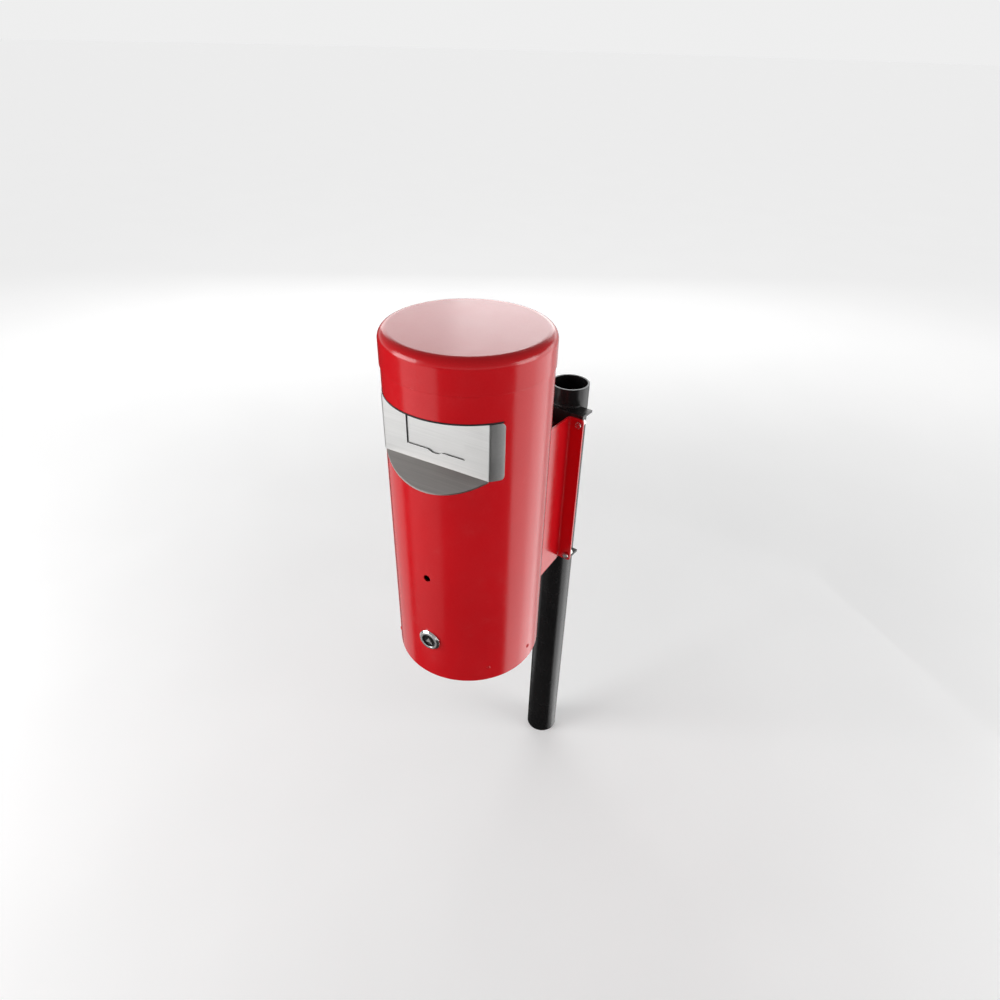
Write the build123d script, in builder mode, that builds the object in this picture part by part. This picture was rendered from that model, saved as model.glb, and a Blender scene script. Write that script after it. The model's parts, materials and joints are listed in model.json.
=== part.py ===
from build123d import *
import os
from math import sin, cos, radians, sqrt

os.makedirs("parts", exist_ok=True)

# ---------------------------------------------------------------- driving dimensions (mm)
POST_R = 30.15          # post tube, outside radius (60.3 mm tube)
POST_WALL = 2.9
CASING_TO_POST = 256.7  # casing axis to post axis
CASING_LIFT = 485.0     # underside of the casing above the post's foot
POST_TOP = 326.0        # top of the post above the underside of the casing
TURN = 6.1              # the hatch is turned this many degrees about the casing's axis

TUBE_R = 105.0
TUBE_WALL = 2.0
TUBE_H = 476.5

CAP_R = 106.1
CAP_SKIRT = 1.0
CAP_LOW = 448.4
CAP_TOP = 489.8
CAP_EDGE_R = 12.0
CAP_SHEET = 1.5
BRIDGE_TOP = CAP_TOP - CAP_SHEET - 0.1

CHORD = 75.5            # front face of the flat hatch panel, from the casing's axis
PANEL_T = 1.2
WING_OUT = 106.3        # outside radius of the wings that lie on the casing
WING_IN = 105.1
WING_END = 54.8         # angle at which the wings end
PANEL_LOW = 339.2
PANEL_HIGH = 413.2
WINDOW_TOP = 415.3
WINDOW_HALF = 78.0
SILL_SLOPE = 0.70
SILL_T = 1.83           # measured upright

MOUTH_HALF = 41.0
MOUTH_LOW = 357.5
MOUTH_HIGH = 403.0
FLAP_HALF = 46.0
FLAP_PIN_Y = -69.6
FLAP_PIN_Z = 412.0
FLAP_PIN_R = 2.5

LOCK_Z = 68.5
PEEP_Z = 180.6
PEEP_R = 5.2

RING_OUT = 102.9
RING_IN = 99.9
RING_LOW = 3.0
RING_HIGH = 38.0
RIVET_Z = 24.0
RIVET_ANGLES = (-126.4, -86.4, -46.4, 46.4, 86.4, 126.4)

BASE_PIN_Y = 88.0
BASE_PIN_Z = 5.0
BASE_PIN_R = 2.5

BAG_RING_R = 88.0
BAG_RING_WIRE = 2.5
BAG_RING_Z = 300.0
HOOK_ANGLES = (60.0, 180.0, 300.0)

BRACKET_LOW = 22.4
BRACKET_HIGH = 292.4
BRACKET_T = 3.0
BRACKET_HALF = 28.0     # outside of the bracket's side plates
FLANGE_HALF = 51.5
FLANGE_Y = -43.0        # front face of the flanges
POST_BOLT_X = 44.0
POST_BOLT_Z = (31.5, 283.5)
WEB_BOLT_X = 12.0
WEB_BOLT_Z = (60.0, 255.0)

# ---------------------------------------------------------------- planes
XL = Vector(cos(radians(TURN)), sin(radians(TURN)), 0)
YL = Vector(-sin(radians(TURN)), cos(radians(TURN)), 0)


def at(x, y, z):
    """A point given in the casing's own axes, from the centre of its underside."""
    return Vector(0, -CASING_TO_POST, CASING_LIFT) + XL * x + YL * y + Vector(0, 0, z)


def level(z, x=0.0, y=0.0):
    """Horizontal plane: sketch x, y are the casing's x, y."""
    return Plane(origin=at(x, y, z), x_dir=XL, z_dir=(0, 0, 1))


def front(y, x=0.0, z=0.0):
    """Upright plane facing the front: sketch x, y are the casing's x, z."""
    return Plane(origin=at(x, y, z), x_dir=XL, z_dir=YL * -1)


def side(x, y=0.0, z=0.0):
    """Upright plane facing the casing's +x: sketch x, y are the casing's y, z."""
    return Plane(origin=at(x, y, z), x_dir=YL, z_dir=XL)


def radial(angle, r, z):
    """Plane that faces outwards at an angle from the front, at radius r."""
    a = radians(angle)
    out = XL * sin(a) - YL * cos(a)
    return Plane(
        origin=at(r * sin(a), -r * cos(a), z), x_dir=XL * cos(a) + YL * sin(a), z_dir=out
    )


def rayplane(angle, offset=0.0):
    """Upright plane through the casing's axis: sketch x is the radius, y the height."""
    a = radians(angle)
    out = XL * sin(a) - YL * cos(a)
    tang = XL * cos(a) + YL * sin(a)
    return Plane(origin=at(0, 0, 0) + tang * -offset, x_dir=out, z_dir=out.cross(Vector(0, 0, 1)))


def post_front(y, x=0.0, z=0.0):
    """Upright plane in the post's axes, facing the casing: sketch x, y are x, z."""
    return Plane(origin=(x, y, CASING_LIFT + z), x_dir=(1, 0, 0), z_dir=(0, -1, 0))


CASING_AXIS = Axis(at(0, 0, 0), (0, 0, 1))


def save(builder, name):
    builder.part.label = name
    export_step(builder.part, f"parts/{name}.step")


# ---------------------------------------------------------------- casing tube
def sill_z(y):
    return PANEL_LOW + (y + CHORD) * SILL_SLOPE


with BuildPart() as casing_tube:
    with BuildSketch(level(0)):
        Circle(TUBE_R)
        Circle(TUBE_R - TUBE_WALL, mode=Mode.SUBTRACT)
    extrude(amount=TUBE_H)
    # window behind the hatch panel
    with BuildSketch(side(-WINDOW_HALF)):
        with BuildLine():
            Polyline(
                (-112, PANEL_LOW - 0.2),
                (-60, PANEL_LOW - 0.2),
                (-60, WINDOW_TOP),
                (-112, WINDOW_TOP),
                close=True,
            )
        make_face()
    extrude(amount=2 * WINDOW_HALF, mode=Mode.SUBTRACT)
    # slot for the edge trim over the wings
    with BuildSketch(side(-85.0)):
        with BuildLine():
            Polyline(
                (-112, PANEL_HIGH + 0.1),
                (-50, PANEL_HIGH + 0.1),
                (-50, WINDOW_TOP),
                (-112, WINDOW_TOP),
                close=True,
            )
        make_face()
    extrude(amount=170.0, mode=Mode.SUBTRACT)
    # lower edge of the window follows the sloping sill
    with BuildSketch(side(-73.3)):
        with BuildLine():
            Polyline(
                (-75.45, PANEL_LOW + 0.5),
                (-112, PANEL_LOW + 0.5),
                (-112, sill_z(-112) - SILL_T - 0.1),
                (-75.45, sill_z(-75.45) - SILL_T - 0.1),
                close=True,
            )
        make_face()
    extrude(amount=146.6, mode=Mode.SUBTRACT)
    # lock hole and peephole on the front centre line
    with BuildSketch(front(-90)):
        with Locations((0, LOCK_Z)):
            Circle(9.6)
        with Locations((0, PEEP_Z)):
            Circle(PEEP_R)
    extrude(amount=30, mode=Mode.SUBTRACT)
    # rivet holes
    for angle in RIVET_ANGLES:
        with BuildSketch(radial(angle, 100, RIVET_Z)):
            Circle(2.05)
        extrude(amount=8, mode=Mode.SUBTRACT)
    # hatch stud holes
    for angle in (-51.5, 51.5):
        for z in (352.0, 400.0):
            with BuildSketch(radial(angle, 100, z)):
                Circle(2.7)
            extrude(amount=8, mode=Mode.SUBTRACT)
    # bracket bolt holes at the back
    with BuildSketch(
        Plane(origin=(0, -CASING_TO_POST + 90, CASING_LIFT), x_dir=(-1, 0, 0), z_dir=(0, 1, 0))
    ):
        for z in WEB_BOLT_Z:
            with Locations((WEB_BOLT_X, z), (-WEB_BOLT_X, z)):
                Circle(3.2)
    extrude(amount=30, mode=Mode.SUBTRACT)
save(casing_tube, "casing_tube")

# ---------------------------------------------------------------- cap and its fixing
with BuildPart() as cap:
    with BuildSketch(rayplane(0)):
        with BuildLine():
            Polyline(
                (0, CAP_TOP),
                (CAP_R, CAP_TOP),
                (CAP_R, CAP_LOW),
                (CAP_R - CAP_SKIRT, CAP_LOW),
                (CAP_R - CAP_SKIRT, CAP_TOP - CAP_SHEET),
                (0, CAP_TOP - CAP_SHEET),
                close=True,
            )
        make_face()
    revolve(axis=CASING_AXIS)
    fillet(
        cap.edges().filter_by(GeomType.CIRCLE).group_by(Axis.Z)[-1], CAP_EDGE_R
    )
    inner_rim = [
        e
        for e in cap.edges().filter_by(GeomType.CIRCLE)
        if abs(e.center().Z - CASING_LIFT - (CAP_TOP - CAP_SHEET)) < 0.01
        and abs(e.radius - (CAP_R - CAP_SKIRT)) < 0.01
    ]
    fillet(inner_rim, CAP_EDGE_R - CAP_SKIRT)
save(cap, "cap")

with BuildPart() as cap_bridge:
    with BuildSketch(front(15)):
        with BuildLine():
            Polyline(
                (-101.7, 462),
                (-84, 462),
                (-81, 462),
                (-81, BRIDGE_TOP - 3),
                (81, BRIDGE_TOP - 3),
                (81, 462),
                (101.7, 462),
                (101.7, 465),
                (84, 465),
                (84, BRIDGE_TOP),
                (-84, BRIDGE_TOP),
                (-84, 465),
                (-101.7, 465),
                close=True,
            )
        make_face()
    extrude(amount=30)
    with BuildSketch(level(BRIDGE_TOP - 5)):
        with Locations((-50, 0), (50, 0)):
            Circle(3.2)
    extrude(amount=10, mode=Mode.SUBTRACT)
save(cap_bridge, "cap_bridge")

with BuildPart() as cap_studs:
    with BuildSketch(level(475.5)):
        with Locations((-50, 0), (50, 0)):
            Circle(3.0)
    extrude(amount=CAP_TOP - CAP_SHEET - 475.5)
save(cap_studs, "cap_studs")

with BuildPart() as cap_nuts:
    with BuildSketch(level(BRIDGE_TOP - 8.1)):
        with Locations((-50, 0), (50, 0)):
            RegularPolygon(10 / sqrt(3), 6)
            Circle(3.05, mode=Mode.SUBTRACT)
    extrude(amount=5)
save(cap_nuts, "cap_nuts")

# ---------------------------------------------------------------- hatch panel with wings
def on(r, angle):
    a = radians(angle)
    return (r * sin(a), -r * cos(a))


XF = sqrt(WING_OUT**2 - CHORD**2)
XB = sqrt(WING_IN**2 - (CHORD - PANEL_T) ** 2)
with BuildPart() as hatch_panel:
    with BuildSketch(level(PANEL_LOW)) as plan:
        with BuildLine():
            ThreePointArc(on(WING_OUT, -WING_END), on(WING_OUT, -50), (-XF, -CHORD))
            Line((-XF, -CHORD), (XF, -CHORD))
            ThreePointArc((XF, -CHORD), on(WING_OUT, 50), on(WING_OUT, WING_END))
            Line(on(WING_OUT, WING_END), on(WING_IN, WING_END))
            ThreePointArc(on(WING_IN, WING_END), on(WING_IN, 50), (XB, -CHORD + PANEL_T))
            Line((XB, -CHORD + PANEL_T), (-XB, -CHORD + PANEL_T))
            ThreePointArc((-XB, -CHORD + PANEL_T), on(WING_IN, -50), on(WING_IN, -WING_END))
            Line(on(WING_IN, -WING_END), on(WING_OUT, -WING_END))
        make_face()
        for sign in (-1, 1):
            fillet(plan.vertices().sort_by_distance((sign * XF, -CHORD, 0))[0], 3.8)
            fillet(plan.vertices().sort_by_distance((sign * XB, -CHORD + PANEL_T, 0))[0], 2.6)
    extrude(amount=PANEL_HIGH - PANEL_LOW)
    # rounded outer corners of the wings
    wing_corners = [
        e
        for e in hatch_panel.edges().filter_by(GeomType.LINE)
        if e.length < 1.3 and abs((e.center() - at(0, 0, 0)).dot(XL)) > 80 and abs(e.tangent_at(0.5).Z) < 0.1
    ]
    fillet(wing_corners, 5.2)
    # the flat panel runs on inside the casing, above and below the window
    with BuildSketch(front(-CHORD + PANEL_T)):
        with BuildLine():
            Polyline((-69, 334), (69, 334), (69, 424), (-69, 424), close=True)
        make_face()
    extrude(amount=PANEL_T)
    # mouth with a shallow finger dip in its lower edge
    with BuildSketch(front(-CHORD + PANEL_T + 1)) as mouth:
        with BuildLine():
            Polyline(
                (-MOUTH_HALF, MOUTH_LOW),
                (-10.5, MOUTH_LOW),
                (-4.5, MOUTH_LOW - 3.0),
                (4.5, MOUTH_LOW - 3.0),
                (10.5, MOUTH_LOW),
                (MOUTH_HALF, MOUTH_LOW),
                (MOUTH_HALF, MOUTH_HIGH),
                (-MOUTH_HALF, MOUTH_HIGH),
                close=True,
            )
        make_face()
        dip = [v for v in mouth.vertices() if v.Y < MOUTH_LOW + 0.1 and abs(v.X) < 12]
        fillet(dip, 3.0)
    extrude(amount=PANEL_T + 2, mode=Mode.SUBTRACT)
save(hatch_panel, "hatch_panel")

with BuildPart() as hatch_studs:
    for angle in (-51.5, 51.5):
        for z in (352.0, 400.0):
            with BuildSketch(radial(angle, 94.0, z)):
                Circle(2.5)
            extrude(amount=WING_IN - 94.0 - 0.06)
save(hatch_studs, "hatch_studs")

with BuildPart() as hatch_nuts:
    for angle in (-51.5, 51.5):
        for z in (352.0, 400.0):
            with BuildSketch(radial(angle, 98.7, z)):
                RegularPolygon(8 / sqrt(3), 6)
                Circle(2.55, mode=Mode.SUBTRACT)
            extrude(amount=4.0)
save(hatch_nuts, "hatch_nuts")

with BuildPart() as hatch_sill:
    with BuildSketch(side(-76)):
        with BuildLine():
            Polyline(
                (-75.55, sill_z(-75.55)),
                (-110, sill_z(-110)),
                (-110, sill_z(-110) - SILL_T),
                (-75.55, sill_z(-75.55) - SILL_T),
                close=True,
            )
        make_face()
    extrude(amount=152)
    with BuildSketch(level(300)):
        Circle(TUBE_R + 0.4)
    extrude(amount=60, mode=Mode.INTERSECT)
save(hatch_sill, "hatch_sill")

with BuildPart() as window_edge_trim:
    with BuildSketch(level(PANEL_HIGH + 0.1)):
        with BuildLine():
            ThreePointArc(on(105.3, -53.6), on(105.3, 0), on(105.3, 53.6))
            Line(on(105.3, 53.6), on(103.0, 53.6))
            ThreePointArc(on(103.0, 53.6), on(103.0, 0), on(103.0, -53.6))
            Line(on(103.0, -53.6), on(105.3, -53.6))
        make_face()
    extrude(amount=WINDOW_TOP - PANEL_HIGH - 0.1)
save(window_edge_trim, "window_edge_trim")

# ---------------------------------------------------------------- hatch flap and its hinge
with BuildPart() as hatch_flap:
    with BuildSketch(side(-FLAP_HALF)):
        with BuildLine():
            Polyline(
                (-73.7, 350),
                (-48.2, 350),
                (-48.2, 351.5),
                (-72.2, 351.5),
                (-72.2, FLAP_PIN_Z),
                (-73.7, FLAP_PIN_Z),
                close=True,
            )
        make_face()
        with Locations((FLAP_PIN_Y, FLAP_PIN_Z)):
            Circle(4.1)
            Circle(FLAP_PIN_R + 0.06, mode=Mode.SUBTRACT)
    extrude(amount=2 * FLAP_HALF)
save(hatch_flap, "hatch_flap")

with BuildPart() as flap_rod:
    with BuildSketch(side(-54, FLAP_PIN_Y, FLAP_PIN_Z)):
        Circle(FLAP_PIN_R)
    extrude(amount=108)
save(flap_rod, "flap_rod")

with BuildPart() as flap_rod_brackets:
    for x0, x1, xa, xb in ((48.5, 50.5, 48.5, 60.0), (-50.5, -48.5, -60.0, -48.5)):
        with BuildSketch(side(x0)):
            with BuildLine():
                Polyline((-74.3, 404), (-64.0, 406), (-64.0, 418), (-74.3, 420), close=True)
            make_face()
            with Locations((FLAP_PIN_Y, FLAP_PIN_Z)):
                Circle(FLAP_PIN_R + 0.05, mode=Mode.SUBTRACT)
        extrude(amount=x1 - x0)
        with BuildSketch(front(-72.8)):
            with BuildLine():
                Polyline((xa, 404), (xb, 404), (xb, 420), (xa, 420), close=True)
            make_face()
        extrude(amount=1.5)
    # the rod passes clear through both ears
    with BuildSketch(side(-54, FLAP_PIN_Y, FLAP_PIN_Z)):
        Circle(FLAP_PIN_R + 0.05)
    extrude(amount=108, mode=Mode.SUBTRACT)
save(flap_rod_brackets, "flap_rod_brackets")

with BuildPart() as flap_rod_caps:
    for x in (50.7, -53.2):
        with BuildSketch(side(x, FLAP_PIN_Y, FLAP_PIN_Z)):
            Circle(3.1)
            Circle(FLAP_PIN_R + 0.02, mode=Mode.SUBTRACT)
        extrude(amount=2.5)
save(flap_rod_caps, "flap_rod_caps")

# ---------------------------------------------------------------- lock
LOCK_AXIS = Axis(at(0, 0, LOCK_Z), YL)
with BuildPart() as lock_housing:
    with BuildSketch(side(0)) as housing_profile:
        with BuildLine():
            Polyline(
                (-81.0, LOCK_Z + 7.0),
                (-81.0, LOCK_Z + 9.5),
                (-105.02, LOCK_Z + 9.5),
                (-105.02, LOCK_Z + 16.5),
                (-106.2, LOCK_Z + 16.5),
                (-108.6, LOCK_Z + 13.9),
                (-108.6, LOCK_Z + 10.4),
                (-105.9, LOCK_Z + 10.0),
                (-105.9, LOCK_Z + 7.0),
                close=True,
            )
        make_face()
        fillet(housing_profile.vertices().sort_by_distance((-108.6, LOCK_Z + 13.9, 0))[0], 1.6)
        fillet(housing_profile.vertices().sort_by_distance((-108.6, LOCK_Z + 10.4, 0))[0], 0.7)
        fillet(housing_profile.vertices().sort_by_distance((-106.2, LOCK_Z + 16.5, 0))[0], 0.6)
    revolve(axis=LOCK_AXIS)
save(lock_housing, "lock_housing")

with BuildPart() as lock_nut:
    with BuildSketch(front(-96.9, 0, LOCK_Z)):
        RegularPolygon(24 / sqrt(3), 6)
        Circle(9.55, mode=Mode.SUBTRACT)
    extrude(amount=5)
save(lock_nut, "lock_nut")

with BuildPart() as lock_plug:
    with BuildSketch(front(-81.0, 0, LOCK_Z)):
        Circle(6.95)
    extrude(amount=24.9)
    # triangular stud for the key
    with BuildSketch(front(-105.9, 0, LOCK_Z)):
        RegularPolygon(5.2, 3, rotation=90)
    extrude(amount=2.2)
    # square that drives the cam
    with BuildSketch(front(-78.4, 0, LOCK_Z)):
        Rectangle(8.0, 8.0)
    extrude(amount=2.6)
    with BuildSketch(front(-78.0, 0, LOCK_Z)):
        Circle(2.55)
    extrude(amount=12, mode=Mode.SUBTRACT)
save(lock_plug, "lock_plug")

with BuildPart() as lock_cam:
    with BuildSketch(front(-78.4, 0, LOCK_Z)):
        Circle(8.0)
        with Locations((0, -13)):
            Rectangle(8.6, 26)
        Rectangle(8.1, 8.1, mode=Mode.SUBTRACT)
    extrude(amount=2.5)
save(lock_cam, "lock_cam")

with BuildPart() as lock_cam_screw:
    with BuildSketch(front(-75.3, 0, LOCK_Z)):
        RegularPolygon(10.5 / sqrt(3), 6)
    extrude(amount=3.0)
    with BuildSketch(front(-78.3, 0, LOCK_Z)):
        Circle(2.5)
    extrude(amount=10)
save(lock_cam_screw, "lock_cam_screw")

# ---------------------------------------------------------------- base ring, rivets, base flap
with BuildPart() as base_ring:
    with BuildSketch(level(RING_LOW)):
        Circle(RING_OUT)
        Circle(RING_IN, mode=Mode.SUBTRACT)
    extrude(amount=RING_HIGH - RING_LOW)
    for angle in RIVET_ANGLES:
        with BuildSketch(radial(angle, 96, RIVET_Z)):
            Circle(2.05)
        extrude(amount=10, mode=Mode.SUBTRACT)
save(base_ring, "base_ring")

with BuildPart() as base_rivets:
    for angle in RIVET_ANGLES:
        with BuildSketch(radial(angle, 99.8, RIVET_Z)):
            Circle(2.0)
        extrude(amount=5.4)
        with BuildSketch(radial(angle, 105.03, RIVET_Z)):
            Circle(3.1)
        extrude(amount=1.3, taper=28)
        with BuildSketch(radial(angle, 98.6, RIVET_Z)):
            Circle(3.1)
        extrude(amount=1.22)
save(base_rivets, "base_rivets")

with BuildPart() as base_hinge_plate:
    with BuildSketch(level(1.0)):
        with BuildLine():
            ThreePointArc(
                (sqrt(102.8**2 - 71.0**2), 71.0), (0, 102.8), (-sqrt(102.8**2 - 71.0**2), 71.0)
            )
            Line((-sqrt(102.8**2 - 71.0**2), 71.0), (sqrt(102.8**2 - 71.0**2), 71.0))
        make_face()
        with BuildLine():
            Polyline((-28.7, 70.0), (28.7, 70.0), (28.7, 94.2), (-28.7, 94.2), close=True)
        make_face(mode=Mode.SUBTRACT)
    extrude(amount=2.0)
    for x in (29.0, -33.0):
        with BuildSketch(side(x)):
            with BuildLine():
                Polyline((82.5, 3.0), (93.2, 3.0), (93.2, 7.5), (91.0, 9.8), (84.8, 9.8), (82.5, 7.5), close=True)
            make_face()
        extrude(amount=4.0)
    with BuildSketch(side(-35, BASE_PIN_Y, BASE_PIN_Z)):
        Circle(BASE_PIN_R + 0.05)
    extrude(amount=70, mode=Mode.SUBTRACT)
save(base_hinge_plate, "base_hinge_plate")

with BuildPart() as base_hinge_pin:
    with BuildSketch(side(-33, BASE_PIN_Y, BASE_PIN_Z)):
        Circle(BASE_PIN_R)
    extrude(amount=66)
save(base_hinge_pin, "base_hinge_pin")

with BuildPart() as base_flap:
    half = sqrt(101.5**2 - 70.0**2)
    with BuildSketch(level(0.7)):
        with BuildLine():
            ThreePointArc((-half, 70.0), (0, -101.5), (half, 70.0))
            Line((half, 70.0), (-half, 70.0))
        make_face()
        with BuildLine():
            Polyline((-28, 60), (28, 60), (28, BASE_PIN_Y), (-28, BASE_PIN_Y), close=True)
        make_face()
        # drain holes
        with PolarLocations(38, 4, 45):
            Circle(3.5, mode=Mode.SUBTRACT)
    extrude(amount=2.0)
    with BuildSketch(side(-28, BASE_PIN_Y, BASE_PIN_Z)):
        Circle(4.3)
    extrude(amount=56)
    with BuildSketch(side(-28, BASE_PIN_Y, BASE_PIN_Z)):
        Circle(BASE_PIN_R + 0.06)
    extrude(amount=56, mode=Mode.SUBTRACT)
save(base_flap, "base_flap")

with BuildPart() as latch_tongue:
    with BuildSketch(side(11)):
        with BuildLine():
            Polyline(
                (-55, 2.72),
                (-77.8, 2.72),
                (-77.8, 73.1),
                (-82.5, 73.1),
                (-82.5, 75.1),
                (-75.8, 75.1),
                (-75.8, 4.72),
                (-55, 4.72),
                close=True,
            )
        make_face()
    extrude(amount=12)
save(latch_tongue, "latch_tongue")

# ---------------------------------------------------------------- bag ring and hooks
with BuildPart() as bag_ring:
    with BuildSketch(rayplane(90)):
        with Locations((BAG_RING_R, BAG_RING_Z)):
            Circle(BAG_RING_WIRE)
    revolve(axis=CASING_AXIS)
save(bag_ring, "bag_ring")

with BuildPart() as bag_ring_hooks:
    for angle in HOOK_ANGLES:
        with BuildSketch(rayplane(angle, 6.0)):
            with BuildLine():
                Polyline(
                    (102.75, 275.0),
                    (102.75, 310.0),
                    (100.75, 310.0),
                    (100.75, 297.4),
                    (84.0, 297.4),
                    (84.0, 304.0),
                    (82.0, 304.0),
                    (82.0, 294.9),
                    (100.75, 294.9),
                    (100.75, 275.0),
                    close=True,
                )
            make_face()
        extrude(amount=-12.0)
save(bag_ring_hooks, "bag_ring_hooks")

# ---------------------------------------------------------------- rear bracket
WEB_IN = 105.05
WEB_OUT = WEB_IN + BRACKET_T
CY = -CASING_TO_POST
INNER = BRACKET_HALF - BRACKET_T
y_out = CY + sqrt(WEB_IN**2 - BRACKET_HALF**2)
y_in = CY + sqrt(WEB_OUT**2 - INNER**2)
with BuildPart() as rear_bracket:
    with BuildSketch(Plane.XY.offset(CASING_LIFT + 2.0)) as hat:
        with BuildLine():
            ThreePointArc((-BRACKET_HALF, y_out), (0, CY + WEB_IN), (BRACKET_HALF, y_out))
            Polyline(
                (BRACKET_HALF, y_out),
                (BRACKET_HALF, FLANGE_Y),
                (FLANGE_HALF, FLANGE_Y),
                (FLANGE_HALF, FLANGE_Y + BRACKET_T),
                (INNER, FLANGE_Y + BRACKET_T),
                (INNER, y_in),
            )
            ThreePointArc((INNER, y_in), (0, CY + WEB_OUT), (-INNER, y_in))
            Polyline(
                (-INNER, y_in),
                (-INNER, FLANGE_Y + BRACKET_T),
                (-FLANGE_HALF, FLANGE_Y + BRACKET_T),
                (-FLANGE_HALF, FLANGE_Y),
                (-BRACKET_HALF, FLANGE_Y),
                (-BRACKET_HALF, y_out),
            )
        make_face()
        zz = 0
        for sign in (-1, 1):
            fillet(hat.vertices().sort_by_distance((sign * BRACKET_HALF, FLANGE_Y, zz))[0], 3.0)
            fillet(hat.vertices().sort_by_distance((sign * INNER, FLANGE_Y + BRACKET_T, zz))[0], 6.0)
            fillet(hat.vertices().sort_by_distance((sign * BRACKET_HALF, y_out, zz))[0], 5.0)
            fillet(hat.vertices().sort_by_distance((sign * INNER, y_in, zz))[0], 2.0)
    extrude(amount=BRACKET_HIGH - 2.0)
    # the lower edge rises towards the flanges
    with BuildSketch(Plane(origin=(-60, 0, CASING_LIFT), x_dir=(0, 1, 0), z_dir=(1, 0, 0))):
        with BuildLine():
            Polyline(
                (CY + 95, -1),
                (CY + 95, 2.6),
                (CY + 209, 19.8),
                (FLANGE_Y - 1.0, BRACKET_LOW),
                (-20, BRACKET_LOW),
                (-20, -1),
                close=True,
            )
        make_face()
    extrude(amount=120, mode=Mode.SUBTRACT)
    corners = [
        e
        for e in rear_bracket.edges().filter_by(GeomType.LINE)
        if abs(abs(e.center().X) - FLANGE_HALF) < 0.1 and abs(e.tangent_at(0.5).Y) > 0.9
    ]
    fillet(corners, 5.0)
    with BuildSketch(post_front(-30)):
        for z in POST_BOLT_Z:
            with Locations((POST_BOLT_X, z), (-POST_BOLT_X, z)):
                Circle(3.3)
    extrude(amount=20, mode=Mode.SUBTRACT)
    with BuildSketch(post_front(CY + 118)):
        for z in WEB_BOLT_Z:
            with Locations((WEB_BOLT_X, z), (-WEB_BOLT_X, z)):
                Circle(3.2)
    extrude(amount=20, mode=Mode.SUBTRACT)
save(rear_bracket, "rear_bracket")

with BuildPart() as casing_bolts:
    for z in WEB_BOLT_Z:
        for x in (-WEB_BOLT_X, WEB_BOLT_X):
            with BuildSketch(post_front(CY + 101.4, x, z)):
                Circle(5.25)
            extrude(amount=3.0, taper=18)
            with BuildSketch(post_front(CY + 117.5, x, z)):
                Circle(3.0)
            extrude(amount=16.2)
save(casing_bolts, "casing_bolts")

with BuildPart() as casing_nuts:
    for z in WEB_BOLT_Z:
        for x in (-WEB_BOLT_X, WEB_BOLT_X):
            with BuildSketch(post_front(CY + 113.2, x, z)):
                RegularPolygon(10 / sqrt(3), 6)
                Circle(3.05, mode=Mode.SUBTRACT)
            extrude(amount=5.0)
save(casing_nuts, "casing_nuts")

with BuildPart() as post_bolts:
    for z in POST_BOLT_Z:
        for x in (-POST_BOLT_X, POST_BOLT_X):
            with BuildSketch(post_front(FLANGE_Y - 0.02, x, z)):
                RegularPolygon(10 / sqrt(3), 6)
            extrude(amount=4.0)
            with BuildSketch(post_front(-26.5, x, z)):
                Circle(3.0)
            extrude(amount=-FLANGE_Y - 26.5 + 0.5)
save(post_bolts, "post_bolts")

with BuildPart() as post_washers:
    for z in POST_BOLT_Z:
        for x in (-POST_BOLT_X, POST_BOLT_X):
            with BuildSketch(post_front(-34.5, x, z)):
                Circle(5.5)
                Circle(3.2, mode=Mode.SUBTRACT)
            extrude(amount=1.5)
save(post_washers, "post_washers")

with BuildPart() as post_nuts:
    for z in POST_BOLT_Z:
        for x in (-POST_BOLT_X, POST_BOLT_X):
            with BuildSketch(post_front(-29.5, x, z)):
                RegularPolygon(10 / sqrt(3), 6)
                Circle(3.05, mode=Mode.SUBTRACT)
            extrude(amount=5.0)
save(post_nuts, "post_nuts")

# ---------------------------------------------------------------- post and its lugs
with BuildPart() as post_tube:
    with BuildSketch(Plane.XY):
        Circle(POST_R)
        Circle(POST_R - POST_WALL, mode=Mode.SUBTRACT)
    extrude(amount=CASING_LIFT + POST_TOP)
save(post_tube, "post_tube")

LUG_T = 4.0
LUG_HALF = 48.5
LUG_BACK = -11.7
LUG_FACE = FLANGE_Y + BRACKET_T


# each lug is a shelf plate that cradles the post, with an upright leg behind the flanges
for lug_name, plate_low, leg_low, leg_high, bolt_z in (
    ("post_lug_upper", 293.5, 273.0, 297.5, POST_BOLT_Z[1]),
    ("post_lug_lower", 21.9, 21.9, 44.0, POST_BOLT_Z[0]),
):
    with BuildPart() as post_lug:
        with BuildSketch(Plane.XY.offset(CASING_LIFT + plate_low)):
            with BuildLine():
                Polyline(
                    (-LUG_HALF, LUG_FACE),
                    (LUG_HALF, LUG_FACE),
                    (LUG_HALF, LUG_BACK),
                    (-LUG_HALF, LUG_BACK),
                    close=True,
                )
            make_face()
            Circle(POST_R + 0.05, mode=Mode.SUBTRACT)
        extrude(amount=LUG_T)
        with BuildSketch(Plane.XY.offset(CASING_LIFT + leg_low)):
            with BuildLine():
                Polyline(
                    (-LUG_HALF, LUG_FACE),
                    (LUG_HALF, LUG_FACE),
                    (LUG_HALF, LUG_FACE + LUG_T),
                    (-LUG_HALF, LUG_FACE + LUG_T),
                    close=True,
                )
            make_face()
        extrude(amount=leg_high - leg_low)
        with BuildSketch(post_front(-30, 0, bolt_z)):
            with Locations((POST_BOLT_X, 0), (-POST_BOLT_X, 0)):
                Circle(3.3)
        extrude(amount=20, mode=Mode.SUBTRACT)
    save(post_lug, lug_name)
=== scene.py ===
import bpy
import bmesh
import json
import math
import random
from mathutils import Matrix, Vector


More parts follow.
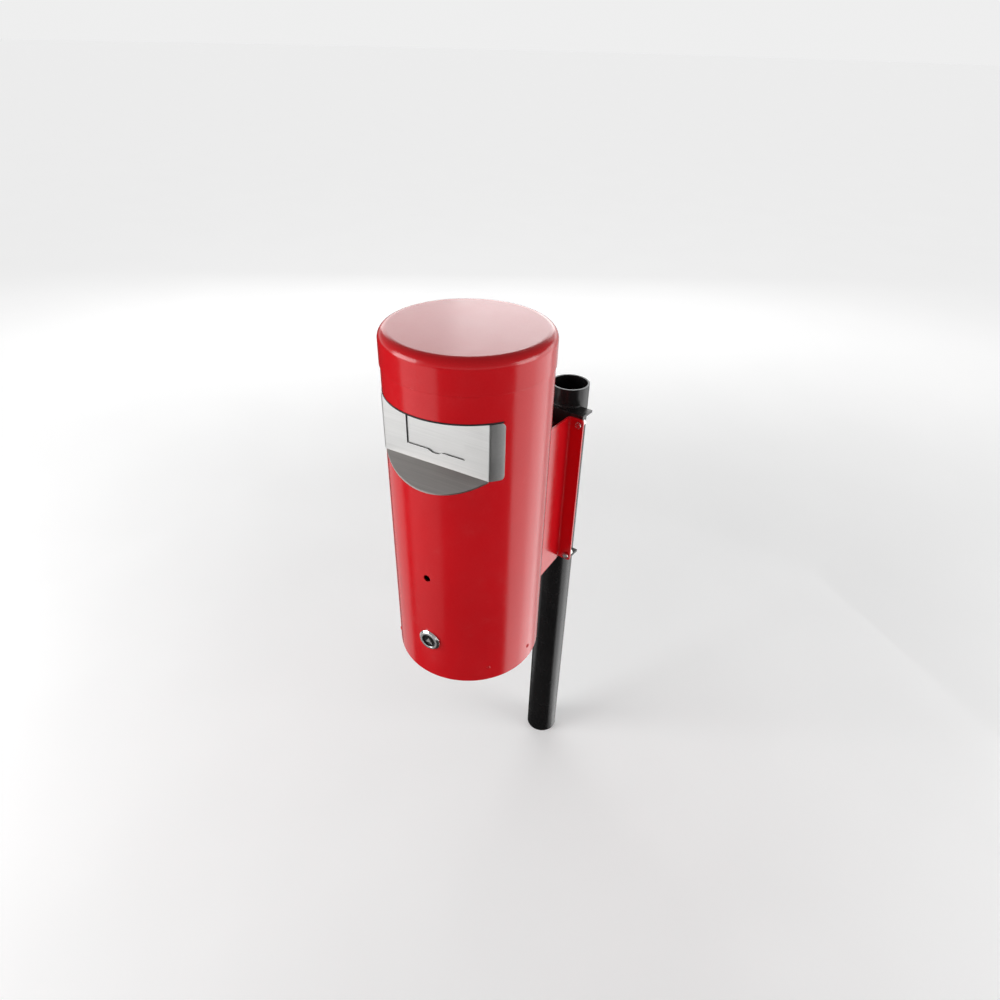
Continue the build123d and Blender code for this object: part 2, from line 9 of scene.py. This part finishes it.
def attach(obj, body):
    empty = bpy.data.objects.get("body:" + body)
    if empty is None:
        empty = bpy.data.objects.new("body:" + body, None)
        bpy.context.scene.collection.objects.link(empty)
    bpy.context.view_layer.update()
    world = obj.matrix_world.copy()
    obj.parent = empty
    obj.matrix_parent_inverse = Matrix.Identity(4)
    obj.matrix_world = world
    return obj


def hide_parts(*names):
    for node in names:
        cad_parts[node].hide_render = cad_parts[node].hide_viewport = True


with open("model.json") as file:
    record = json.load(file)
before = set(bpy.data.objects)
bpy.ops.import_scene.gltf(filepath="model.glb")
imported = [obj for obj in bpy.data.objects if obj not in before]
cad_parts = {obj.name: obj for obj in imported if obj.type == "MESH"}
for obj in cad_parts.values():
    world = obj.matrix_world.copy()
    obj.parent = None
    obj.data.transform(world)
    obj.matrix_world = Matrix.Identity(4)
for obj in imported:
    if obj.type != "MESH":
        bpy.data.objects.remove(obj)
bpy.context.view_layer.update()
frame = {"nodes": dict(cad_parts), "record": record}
nodes = frame["nodes"]
scene = bpy.context.scene
coll = scene.collection

# ------------------------------------------------------------------ the casing's own axes
TURN = math.radians(6.1)
XL = Vector((math.cos(TURN), math.sin(TURN), 0))
YL = Vector((-math.sin(TURN), math.cos(TURN), 0))
BASE = Vector((0, -0.2567, 0.485))
UP = Vector((0, 0, 1))


def at(x, y, z):
    """A point in metres from the casing's own axes in millimetres."""
    return BASE + (XL * x + YL * y + UP * z) * 0.001


# ------------------------------------------------------------------ camera
def camera():
    R, dh, hc = 0.105, 7.3122, 7.3186
    yaw, roll = 0.055, -0.0267
    fw = Vector((0.04538899, 0.82449905, -0.56404003)).normalized()
    r = Vector((math.cos(yaw), -math.sin(yaw), 0))
    d = fw.cross(r)
    right = math.cos(roll) * r + math.sin(roll) * d
    down = -math.sin(roll) * r + math.cos(roll) * d
    spin = Matrix.Rotation(math.radians(38.0), 3, "Z")
    pos = BASE + spin @ (Vector((0, -dh, hc)) * R)
    right, down, fw = spin @ right, spin @ down, spin @ fw
    cam = bpy.data.cameras.new("camera")
    cam.sensor_width = 36.0
    cam.lens = 36.0 * 681.1546 / 1000.0
    cam.clip_start = 0.01
    obj = bpy.data.objects.new("camera", cam)
    m = Matrix((right, -down, -fw)).transposed().to_4x4()
    m.translation = pos
    obj.matrix_world = m
    coll.objects.link(obj)
    scene.camera = obj


camera()


# ------------------------------------------------------------------ light
def aim(obj, pos, target):
    pos, target = Vector(pos), Vector(target)
    z = (pos - target).normalized()
    x = UP.cross(z).normalized()
    y = z.cross(x)
    m = Matrix((x, y, z)).transposed().to_4x4()
    m.translation = pos
    obj.matrix_world = m


def around(az, dist, z, centre=(0, -0.2567)):
    a = math.radians(az)
    return Vector((centre[0] + dist * math.sin(a), centre[1] - dist * math.cos(a), z))


def softbox(name, pos, target, w, h, radiance, colour=(1, 1, 1)):
    data = bpy.data.lights.new(name, "AREA")
    data.shape = "RECTANGLE"
    data.size, data.size_y = w, h
    data.energy = radiance * math.pi * w * h
    data.color = colour
    obj = bpy.data.objects.new(name, data)
    coll.objects.link(obj)
    aim(obj, pos, target)
    obj.visible_camera = False
    return obj


def card(name, az, az_half, dist, lo, hi, radiance, tint=(1, 1, 1)):
    """A soft panel that is only seen in reflections, az_half degrees either side of az."""
    w = 2 * dist * math.tan(math.radians(az_half))
    z = (lo + hi) / 2
    obj = softbox(name, around(az, dist, z), around(0, 0, z), w, hi - lo, radiance, tint)
    obj.visible_diffuse = False
    return obj


# real lights
softbox("key_left", around(-44, 2.3, 1.25), around(0, 0, 0.70), 1.5, 1.2, 6.6)
softbox("key_right", around(112, 2.3, 1.10), around(0, 0, 0.70), 1.3, 1.2, 3.8)
sky = Vector((0, -0.2567, 0.973))
lean = math.radians(15.6)
back = Vector((math.sin(math.radians(218)) * math.cos(lean), -math.cos(math.radians(218)) * math.cos(lean), math.sin(lean)))
softbox("back_sky", sky + back * 3.2, sky, 3.2, 1.36, 2.45)
# a paler patch to one side of it, seen only in the cap's top
side_back = Vector((math.sin(math.radians(197)) * math.cos(lean), -math.cos(math.radians(197)) * math.cos(lean), math.sin(lean)))
softbox("back_sky_patch", sky + side_back * 3.2, sky, 2.5, 1.36, 0.95).visible_diffuse = False
# panels seen in the paint and the steel
card("panel_right", 113, 16, 1.15, -1.3, 1.2, 1.75)
card("panel_right_far", 146, 17, 1.15, -1.3, 1.2, 2.2)
card("panel_rear", 184, 21, 1.15, -1.3, 1.2, 0.7)
card("panel_left_high", -27, 26, 1.3, 0.05, 0.75, 1.1)
card("panel_left_low", -27, 26, 1.3, -0.75, 0.05, 0.36)
card("panel_left_far", -88, 22, 1.3, -1.3, 0.15, 0.55)

world = bpy.data.worlds.new("studio")
scene.world = world
world.use_nodes = True
wt = world.node_tree
bg = wt.nodes["Background"]
wco = wt.nodes.new("ShaderNodeTexCoord")
wsep = wt.nodes.new("ShaderNodeSeparateXYZ")
wramp = wt.nodes.new("ShaderNodeValToRGB")
wt.links.new(wco.outputs["Generated"], wsep.inputs[0])
wmap = wt.nodes.new("ShaderNodeMapRange")
wmap.inputs["From Min"].default_value = -1.0
wmap.inputs["From Max"].default_value = 1.0
wt.links.new(wsep.outputs["Z"], wmap.inputs["Value"])
wt.links.new(wmap.outputs["Result"], wramp.inputs["Fac"])
wt.links.new(wramp.outputs["Color"], bg.inputs["Color"])
stops = [(0.0, 0.03), (0.47, 0.035), (0.49, 0.86), (0.525, 0.86), (0.62, 0.34), (1.0, 0.20)]
el = wramp.color_ramp.elements
while len(el) > 1:
    el.remove(el[0])
el[0].position, el[0].color = stops[0][0], (stops[0][1],) * 3 + (1,)
for p, v in stops[1:]:
    e = el.new(p)
    e.color = (v, v, v, 1)
bg.inputs["Strength"].default_value = 1.0

scene.view_settings.view_transform = "Standard"
scene.view_settings.look = "None"


# ------------------------------------------------------------------ shader helpers
class Mat:
    def __init__(self, name):
        self.m = bpy.data.materials.new(name)
        self.m.use_nodes = True
        self.t = self.m.node_tree
        self.b = self.t.nodes["Principled BSDF"]
        self.co = self.node("ShaderNodeTexCoord").outputs["Object"]

    def node(self, kind, **kw):
        n = self.t.nodes.new(kind)
        for k, v in kw.items():
            setattr(n, k, v)
        return n

    def link(self, a, b):
        self.t.links.new(a, b)

    def put(self, name, value):
        self.b.inputs[name].default_value = value

    def mapping(self, scale=(1, 1, 1), rot=(0, 0, 0), loc=(0, 0, 0), src=None):
        n = self.node("ShaderNodeMapping")
        n.inputs["Scale"].default_value = scale
        n.inputs["Rotation"].default_value = rot
        n.inputs["Location"].default_value = loc
        self.link(src or self.co, n.inputs["Vector"])
        return n.outputs["Vector"]

    def local(self):
        """The casing's own axes, in metres: x across, y inwards, z up from its underside."""
        turn = Matrix.Rotation(-TURN, 3, "Z")
        v = self.mapping(rot=(0, 0, -TURN), loc=tuple(-(turn @ BASE)))
        n = self.node("ShaderNodeSeparateXYZ")
        self.link(v, n.inputs[0])
        return n.outputs["X"], n.outputs["Y"], n.outputs["Z"]

    def noise(self, scale, detail=3, rough=0.5, src=None):
        n = self.node("ShaderNodeTexNoise")
        n.inputs["Scale"].default_value = scale
        n.inputs["Detail"].default_value = detail
        n.inputs["Roughness"].default_value = rough
        self.link(src or self.co, n.inputs["Vector"])
        return n.outputs["Fac"]

    def ramp(self, fac, lo, hi, a, b):
        """Maps fac from lo..hi onto a..b."""
        n = self.node("ShaderNodeMapRange")
        n.inputs["From Min"].default_value = lo
        n.inputs["From Max"].default_value = hi
        n.inputs["To Min"].default_value = a
        n.inputs["To Max"].default_value = b
        self.link(fac, n.inputs["Value"])
        return n.outputs["Result"]

    def mix(self, fac, a, b, blend="MIX"):
        n = self.node("ShaderNodeMix", data_type="RGBA", blend_type=blend)
        if isinstance(fac, float):
            n.inputs[0].default_value = fac
        else:
            self.link(fac, n.inputs[0])
        for sock, v in ((n.inputs[6], a), (n.inputs[7], b)):
            if isinstance(v, tuple):
                sock.default_value = (*v, 1) if len(v) == 3 else v
            else:
                self.link(v, sock)
        return n.outputs[2]

    def math(self, op, a, b=None):
        n = self.node("ShaderNodeMath", operation=op)
        for i, v in enumerate((a, b)):
            if v is None:
                continue
            if isinstance(v, (int, float)):
                n.inputs[i].default_value = v
            else:
                self.link(v, n.inputs[i])
        return n.outputs[0]

    def bevel(self, radius, samples=4):
        n = self.node("ShaderNodeBevel", samples=samples)
        n.inputs["Radius"].default_value = radius
        return n.outputs["Normal"]

    def edge(self, rounded, sharpness=9.0):
        """1 on edges, 0 on flats: how far the rounded normal leans from the true one."""
        g = self.node("ShaderNodeNewGeometry").outputs["Normal"]
        d = self.node("ShaderNodeVectorMath", operation="DOT_PRODUCT")
        self.link(rounded, d.inputs[0])
        self.link(g, d.inputs[1])
        k = self.math("SUBTRACT", 1.0, d.outputs["Value"])
        k = self.math("MULTIPLY", k, sharpness)
        n = self.node("ShaderNodeClamp")
        self.link(k, n.inputs[0])
        return n.outputs[0]

    def bump(self, height, strength, distance, normal=None):
        n = self.node("ShaderNodeBump")
        n.inputs["Strength"].default_value = strength
        n.inputs["Distance"].default_value = distance
        self.link(height, n.inputs["Height"])
        if normal is not None:
            self.link(normal, n.inputs["Normal"])
        return n.outputs["Normal"]


def powder_coat(name, a, b, speckle_wear_and_sheen_col, rough=(0.15, 0.24), peel=0.10, ior=1.45, dust=(0.55, 0.42, 0.40), dust_amt=0.05):
    m = Mat(name)
    rnd = m.bevel(0.0008)
    edge = m.edge(rnd)
    wide = m.noise(7.0, 4, 0.55)
    fine = m.noise(420.0, 2, 0.5)
    col = m.mix(m.ramp(wide, 0.35, 0.65, 0.0, 1.0), a, b)
    col = m.mix(m.math("MULTIPLY", m.ramp(fine, 0.4, 0.6, 0.0, 1.0), 0.10), col, speckle_wear_and_sheen_col)
    # light handling marks and a trace of dust
    marks = m.noise(38.0, 6, 0.68)
    col = m.mix(m.math("MULTIPLY", m.ramp(marks, 0.60, 0.78, 0.0, 1.0), dust_amt), col, dust)
    # lighter edges: partly chipped wear, partly a painted highlight along the rounded edges
    chip = m.noise(260.0, 3, 0.6)
    wear_and_edge_sheen = m.math("MULTIPLY", edge, m.ramp(chip, 0.42, 0.66, 0.05, 0.55))
    col = m.mix(wear_and_edge_sheen, col, speckle_wear_and_sheen_col)
    m.link(col, m.b.inputs["Base Color"])
    rr = m.math("ADD", m.ramp(marks, 0.3, 0.75, rough[0], rough[1]), m.math("MULTIPLY", edge, 0.06))
    m.link(rr, m.b.inputs["Roughness"])
    orange = m.noise(640.0, 2, 0.5)
    slow = m.noise(55.0, 2, 0.5)
    nrm = m.bump(slow, 0.10, 0.00025, rnd)
    nrm = m.bump(orange, peel, 0.00006, nrm)
    m.link(nrm, m.b.inputs["Normal"])
    m.put("IOR", ior)
    return m.m


def brushed(name, a, b, rough=(0.26, 0.40), grain_axis=0.0, scale=(8, 900, 900), strength=0.25, metallic=1.0, smudge=0.08, mouth=False):
    """Sheet steel with grain along one direction, turned grain_axis about Z."""
    m = Mat(name)
    rnd = m.bevel(0.00018)
    edge = m.edge(rnd)
    v = m.mapping(rot=(0, 0, -grain_axis))
    v = m.mapping(scale=scale, src=v)
    grain = m.noise(1.0, 5, 0.62, v)
    v2 = m.mapping(scale=tuple(s * 0.23 for s in scale), src=m.mapping(rot=(0, 0, -grain_axis)))
    band = m.noise(1.0, 3, 0.5, v2)
    cloud = m.noise(16.0, 4, 0.6)
    k = m.math("ADD", m.math("MULTIPLY", m.ramp(grain, 0.3, 0.7, 0.0, 1.0), 0.55), m.math("MULTIPLY", m.ramp(band, 0.3, 0.7, 0.0, 1.0), 0.45))
    col = m.mix(k, a, b)
    col = m.mix(m.math("MULTIPLY", m.ramp(cloud, 0.5, 0.75, 0.0, 1.0), smudge), col, (0.45, 0.43, 0.41))
    # painted highlight: edges lightened towards pale steel
    col = m.mix(m.math("MULTIPLY", edge, 0.20), col, (0.86, 0.86, 0.85))
    if mouth:
        # painted shade: the cut rim of the mouth is painted near black, for the shadow gap round the flap behind it
        x, y, z = m.local()
        mouth_shade = m.math("MULTIPLY", m.math("LESS_THAN", m.math("ABSOLUTE", x), 0.045), m.math("GREATER_THAN", y, -0.07542))
        mouth_shade = m.math("MULTIPLY", mouth_shade, m.math("MULTIPLY", m.math("GREATER_THAN", z, 0.350), m.math("LESS_THAN", z, 0.4100)))
        col = m.mix(m.math("MULTIPLY", mouth_shade, m.ramp(cloud, 0.2, 0.8, 0.97, 0.90)), col, (0.025, 0.023, 0.022))
    m.link(col, m.b.inputs["Base Color"])
    m.put("Metallic", metallic)
    rr = m.math("ADD", m.ramp(grain, 0.3, 0.7, rough[0], rough[1]), m.math("MULTIPLY", m.ramp(cloud, 0.4, 0.8, 0.0, 1.0), 0.06))
    m.link(rr, m.b.inputs["Roughness"])
    m.link(m.bump(grain, strength, 0.00003, rnd), m.b.inputs["Normal"])
    return m.m


def plated(name, a, b, rough=(0.18, 0.34), metallic=1.0, wash=0.25, stud=False):
    """Plated or drawn steel with cloudy tone and fine scratches."""
    m = Mat(name)
    rnd = m.bevel(0.0004)
    edge = m.edge(rnd)
    cloud = m.noise(210.0, 4, 0.6)
    col = m.mix(m.ramp(cloud, 0.35, 0.65, 0.0, 1.0), a, b)
    scr = m.noise(1.0, 4, 0.7, m.mapping(scale=(150, 1700, 900), rot=(0.5, 0.3, 0.8)))
    col = m.mix(m.math("MULTIPLY", m.ramp(scr, 0.55, 0.75, 0.0, 1.0), wash), col, (0.30, 0.29, 0.28))
    # painted highlight: edges lightened towards bright steel
    col = m.mix(m.math("MULTIPLY", edge, 0.4), col, (0.9, 0.9, 0.88))
    if stud:
        # the key stud stands bright on a blackened face
        x, y, z = m.local()
        col = m.mix(m.math("MULTIPLY", m.math("GREATER_THAN", y, -0.10598), 0.96), col, (0.012, 0.012, 0.012))
    m.link(col, m.b.inputs["Base Color"])
    m.put("Metallic", metallic)
    m.link(m.ramp(cloud, 0.3, 0.7, rough[0], rough[1]), m.b.inputs["Roughness"])
    m.link(m.bump(scr, 0.18, 0.00003, rnd), m.b.inputs["Normal"])
    return m.m


def rubber(name, a=(0.010, 0.010, 0.011), b=(0.022, 0.022, 0.023)):
    m = Mat(name)
    rnd = m.bevel(0.0004)
    n1 = m.noise(300.0, 4, 0.6)
    n2 = m.noise(2600.0, 2, 0.5)
    m.link(m.mix(m.ramp(n1, 0.35, 0.65, 0.0, 1.0), a, b), m.b.inputs["Base Color"])
    m.link(m.ramp(n1, 0.3, 0.7, 0.55, 0.75), m.b.inputs["Roughness"])
    m.link(m.bump(n2, 0.3, 0.00005, rnd), m.b.inputs["Normal"])
    m.put("Specular IOR Level", 0.3)
    return m.m


RED_A, RED_B = (0.585, 0.0030, 0.0078), (0.545, 0.0024, 0.0068)
M_RED = powder_coat("red_powder_coat", RED_A, RED_B, (0.66, 0.016, 0.022), dust_amt=0.02)
M_BLACK = powder_coat("black_powder_coat", (0.0075, 0.0068, 0.0070), (0.0045, 0.0042, 0.0044), (0.05, 0.05, 0.05), rough=(0.20, 0.31), peel=0.16, ior=1.42, dust=(0.16, 0.15, 0.14), dust_amt=0.05)
M_PANEL = brushed("hatch_stainless", (0.80, 0.795, 0.785), (0.70, 0.695, 0.685), rough=(0.30, 0.44), grain_axis=TURN, mouth=True)
M_FLAP = brushed("flap_stainless", (0.80, 0.795, 0.785), (0.71, 0.705, 0.695), rough=(0.30, 0.44), grain_axis=TURN)
# painted shade: the sill is a darker copy of the hatch stainless, for the dimmer reflection on its sloped face
M_SILL_SHADED = brushed("sill_stainless_shaded", (0.62, 0.585, 0.565), (0.50, 0.475, 0.455), rough=(0.30, 0.44), grain_axis=TURN)
M_ZINC = plated("zinc_plate", (0.62, 0.61, 0.58), (0.50, 0.50, 0.49))
M_WIRE = plated("drawn_wire", (0.66, 0.65, 0.64), (0.55, 0.55, 0.54), rough=(0.2, 0.32))
M_CHROME = plated("lock_chrome", (0.93, 0.925, 0.92), (0.86, 0.86, 0.855), rough=(0.14, 0.24), wash=0.05)
M_CORE = plated("lock_core", (0.92, 0.90, 0.88), (0.80, 0.78, 0.76), rough=(0.30, 0.42), stud=True)
M_RUBBER = rubber("edge_rubber")

slot_mat = {
    "casing_paint": M_RED,
    "hatch_steel": M_PANEL,
    "sill_steel": M_SILL_SHADED,
    "edge_rubber": M_RUBBER,
    "zinc_steel": M_ZINC,
    "ring_steel": M_WIRE,
    "lock_chrome": M_CHROME,
    "lock_core_steel": M_CORE,
    "post_paint": M_BLACK,
}
for sp in frame["record"]["subparts"]:
    o = nodes[sp["node"]]
    o.data.materials.clear()
    o.data.materials.append(M_FLAP if sp["node"] == "hatch_flap" else slot_mat[sp["material_slot"]])
    for p in o.data.polygons:
        p.material_index = 0


# ------------------------------------------------------------------ detail pieces
def piece(name, bm, mat, replaces=(), body="casing", angle=32.0):
    bmesh.ops.remove_doubles(bm, verts=bm.verts, dist=1e-7)
    bmesh.ops.recalc_face_normals(bm, faces=bm.faces)
    mesh = bpy.data.meshes.new(name)
    bm.to_mesh(mesh)
    bm.free()
    mesh.polygons.foreach_set("use_smooth", [True] * len(mesh.polygons))
    mesh.set_sharp_from_angle(angle=math.radians(angle))
    mesh.materials.append(mat)
    obj = bpy.data.objects.new(name, mesh)
    coll.objects.link(obj)
    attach(obj, body)
    if replaces:
        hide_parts(*replaces)
    return obj


def rings(bm, rows, origin, axis, across, steps=72, close=False):
    """Joins rows of (height, radius) or (height, radius(angle, height)) along axis from origin, all in metres.
    A row of radius 0 is a pole. close joins the last row to the first, for a ring with a bore."""
    axis = axis.normalized()
    across = across.normalized()
    third = axis.cross(across)
    made = []
    for h, r in rows:
        if not callable(r) and r == 0:
            made.append([bm.verts.new(origin + axis * h)])
            continue
        row = []
        for k in range(steps):
            t = 2 * math.pi * k / steps
            if callable(r):
                rr, hh = r(t, h)
            else:
                rr, hh = r, h
            row.append(bm.verts.new(origin + axis * hh + (across * math.cos(t) + third * math.sin(t)) * rr))
        made.append(row)
    pairs = list(zip(made, made[1:]))
    if close:
        pairs.append((made[-1], made[0]))
    for p, q in pairs:
        for k in range(steps):
            n = (k + 1) % steps
            if len(p) == 1 and len(q) == 1:
                continue
            if len(p) == 1:
                bm.faces.new((p[0], q[k], q[n]))
            elif len(q) == 1:
                bm.faces.new((p[k], p[n], q[0]))
            else:
                bm.faces.new((p[k], p[n], q[n], q[k]))


def hexagon(flats, t):
    """Distance from the centre to a hexagon's side at angle t; a corner lies at t = 0."""
    k = (t % (math.pi / 3)) - math.pi / 6
    return flats / 2 / math.cos(k)


def chamfered(flats, circle, slope=0.52, sign=1):
    """Row of a hexagon cut by a cone that leaves a circle on its face."""
    def row(t, h):
        r = hexagon(flats, t)
        return r, h - sign * (r - circle) * slope
    return row


def thread(r, depth, pitch):
    def row(t, h):
        k = (h / pitch + t / (2 * math.pi)) % 1.0
        return r - depth * abs(2 * k - 1), h
    return row


MM = 0.001
FRONT = Vector((0, -1, 0))
X = Vector((1, 0, 0))


def hex_bolt(bm, head_base, rnd_):
    """A hexagon bolt that points backwards, with its head's bearing face at head_base."""
    spin = Matrix.Rotation(rnd_.uniform(-0.12, 0.12), 3, FRONT)
    across = spin @ X
    af = 9.9 * MM
    rows = [
        (-16.48 * MM, 0), (-16.48 * MM, 2.2 * MM), (-16.0 * MM, 2.7 * MM),
    ]
    n = 46
    for i in range(n):
        rows.append(((-15.8 + 9.2 * i / (n - 1)) * MM, thread(2.93 * MM, 0.42 * MM, 1.0 * MM)))
    rows += [
        (-6.4 * MM, 2.93 * MM), (0.0, 2.93 * MM), (0.0, 4.55 * MM), (0.25 * MM, 4.6 * MM),
        (0.27 * MM, lambda t, h: (hexagon(af, t) - 0.12 * MM, h)), (0.45 * MM, lambda t, h: (hexagon(af, t), h)),
        (3.98 * MM, chamfered(af, 4.75 * MM)), (3.98 * MM, 4.6 * MM),
        (3.98 * MM, 3.3 * MM), (3.72 * MM, 2.9 * MM), (3.68 * MM, 0),
    ]
    rings(bm, rows, head_base, FRONT, across)


def hex_nut(bm, back, rnd_, height=5.0, flats=9.9, bore=3.06):
    """A nut whose back face is at back and which runs forwards."""
    spin = Matrix.Rotation(rnd_.uniform(-0.2, 0.2), 3, FRONT)
    across = spin @ X
    af, b, hgt = flats * MM, bore * MM, height * MM
    rows = [
        (0.02 * MM, b + 0.35 * MM), (0.02 * MM, 4.6 * MM), (0.02 * MM, chamfered(af, 4.7 * MM, sign=-1)),
        (hgt - 0.02 * MM, chamfered(af, 4.7 * MM)), (hgt - 0.02 * MM, 4.6 * MM), (hgt - 0.02 * MM, b + 0.35 * MM),
        (hgt - 0.35 * MM, b), (0.35 * MM, b),
    ]
    rings(bm, rows, back, FRONT, across, close=True)


rng = random.Random(7)
bolt_spots = [(x * MM, (485 + z) * MM) for z in (31.5, 283.5) for x in (-44, 44)]
bm = bmesh.new()
for x, z in bolt_spots:
    hex_bolt(bm, Vector((x, -43.02 * MM, z)), rng)
piece("post_bolt_heads", bm, M_ZINC, ("post_bolts",))

bm = bmesh.new()
for x, z in bolt_spots:
    hex_nut(bm, Vector((x, -29.5 * MM, z)), rng)
piece("post_bolt_nuts", bm, M_ZINC, ("post_nuts",))

bm = bmesh.new()
for z in (60.0, 255.0):
    for x in (-12, 12):
        hex_nut(bm, Vector((x * MM, (-256.7 + 113.2) * MM, (485 + z) * MM)), rng)
piece("web_bolt_nuts", bm, M_ZINC, ("casing_nuts",))

bm = bmesh.new()
BACK = Vector((0, 1, 0))
for z in (60.0, 255.0):
    for x in (-12, 12):
        o = Vector((x * MM, (-256.7 + 101.4) * MM, (485 + z) * MM))
        sock = 4.0 * MM
        rows = [
            (-1.4 * MM, 0), (-1.4 * MM, lambda t, h: (hexagon(sock, t) - 0.05 * MM, h)),
            (-2.9 * MM, lambda t, h: (hexagon(sock, t), h)), (-2.97 * MM, 2.55 * MM), (-2.97 * MM, 3.4 * MM),
            (-2.6 * MM, 4.3 * MM), (-1.7 * MM, 4.95 * MM), (-0.6 * MM, 5.2 * MM), (0.0, 5.2 * MM), (0.0, 2.93 * MM), (7.0 * MM, 2.93 * MM),
        ]
        n = 42
        for i in range(n):
            rows.append(((7.2 + 8.3 * i / (n - 1)) * MM, thread(2.93 * MM, 0.42 * MM, 1.0 * MM)))
        rows += [(15.9 * MM, 2.5 * MM), (16.08 * MM, 2.2 * MM), (16.08 * MM, 0)]
        rings(bm, rows, o, BACK, X)
piece("web_bolt_heads", bm, M_ZINC, ("casing_bolts",))

# blind rivets round the foot of the casing, with the hole of the drawn mandrel
bm = bmesh.new()
for deg in (-126.4, -86.4, -46.4, 46.4, 86.4, 126.4):
    t = math.radians(deg)
    out = XL * math.sin(t) - YL * math.cos(t)
    side_ = XL * math.cos(t) + YL * math.sin(t)
    o = BASE + UP * 0.024
    rows = [
        (98.62, 0), (98.62, 2.6), (98.8, 3.0), (99.1, 3.08), (99.8, 3.08), (99.8, 2.0), (105.03, 2.0), (104.97, 3.08), (105.25, 3.05), (105.6, 2.75),
        (105.95, 2.25), (106.15, 1.7), (106.22, 1.25), (106.16, 1.02), (105.95, 0.95), (105.5, 0.92), (105.45, 0),
    ]
    rings(bm, [(h * MM, r * MM) for h, r in rows], o, out, side_, steps=40)
piece("foot_rivets", bm, M_RED, ("base_rivets",))

# rubber gasket between the lock's rosette and the round casing
LOCK = at(0, 0, 68.5)
OUT = -YL
bm = bmesh.new()


def on_casing(r):
    def row(t, h):
        x = r * math.cos(t)
        return r, math.sqrt(0.10502 ** 2 - x * x) + 0.00001
    return row


rings(
    bm,
    [(0, on_casing(9.7 * MM)), (0, on_casing(13.0 * MM)), (0, on_casing(15.9 * MM)), (105.12 * MM, 15.95 * MM), (105.18 * MM, 15.6 * MM), (105.18 * MM, 16.2 * MM)][:3]
    + [(105.03 * MM, 16.1 * MM), (105.03 * MM, 9.7 * MM)],
    LOCK, OUT, XL, steps=72, close=True,
)
piece("lock_gasket", bm, M_RUBBER)

# black liner in the lock's well
bm = bmesh.new()
rings(
    bm,
    [(105.92 * MM, 7.06 * MM), (106.12 * MM, 7.06 * MM), (106.14 * MM, 9.2 * MM), (106.35 * MM, 9.62 * MM), (108.1 * MM, 9.9 * MM), (108.32 * MM, 10.02 * MM), (108.3 * MM, 10.2 * MM), (105.98 * MM, 9.93 * MM), (105.92 * MM, 9.8 * MM)],
    LOCK, OUT, XL, steps=72, close=True,
)
piece("lock_well_liner", bm, M_RUBBER)


# weld beads that join each lug's shelf to the post
def bead(bm, z, half, seed):
    r_ = random.Random(seed)
    n, ring = 150, 10
    rows = []
    for i in range(n + 1):
        u = i / n
        t = math.radians(-half + 2 * half * u)
        end = min(1.0, 12 * u, 12 * (1 - u))
        ripple = 1 + 0.085 * math.sin(i * 2 * math.pi / 5.0) + r_.uniform(-0.03, 0.03)
        rad = 1.55 * MM * math.sqrt(max(0.03, end)) * ripple
        d = Vector((math.sin(t), -math.cos(t), 0))
        c = d * (30.7 * MM) + UP * (z + r_.uniform(-0.04, 0.04) * MM)
        rows.append([bm.verts.new(c + d * (rad * math.cos(2 * math.pi * k / ring)) + UP * (rad * math.sin(2 * math.pi * k / ring))) for k in range(ring)])
    for p, q in zip(rows, rows[1:]):
        for k in range(ring):
            m = (k + 1) % ring
            bm.faces.new((p[k], p[m], q[m], q[k]))
    bm.faces.new(rows[0])
    bm.faces.new(list(reversed(rows[-1])))


bm = bmesh.new()
for i, z in enumerate((293.5, 297.5, 21.9, 25.9)):
    bead(bm, (485 + z + (0.25 if i % 2 else -0.25)) * MM, 64.0, 20 + i)
piece("lug_weld_beads", bm, M_BLACK, angle=60)


# ------------------------------------------------------------------ floor
def stage_floor():
    mesh = bpy.data.meshes.new("floor")
    bm = bmesh.new()
    bmesh.ops.create_circle(bm, cap_ends=True, cap_tris=False, radius=80.0, segments=128)
    bm.to_mesh(mesh)
    bm.free()
    o = bpy.data.objects.new("floor", mesh)
    coll.objects.link(o)
    o.location = (0, 0, -0.0002)
    m = Mat("floor")
    n = m.noise(3.0, 3, 0.5)
    m.link(m.mix(m.ramp(n, 0.3, 0.7, 0.0, 1.0), (0.86, 0.86, 0.86), (0.83, 0.83, 0.83)), m.b.inputs["Base Color"])
    m.link(m.ramp(n, 0.3, 0.7, 0.75, 0.85), m.b.inputs["Roughness"])
    m.put("Specular IOR Level", 0.2)
    m.put("Emission Color", (1, 1, 1, 1))
    far = m.node("ShaderNodeVectorMath", operation="LENGTH")
    m.link(m.co, far.inputs[0])
    glow = m.ramp(far.outputs["Value"], 0.7, 3.4, 0.17, 0.60)
    glow.node.interpolation_type = "SMOOTHSTEP"
    m.link(glow, m.b.inputs["Emission Strength"])
    mesh.materials.append(m.m)
    o.visible_glossy = False
    return o


stage_floor()
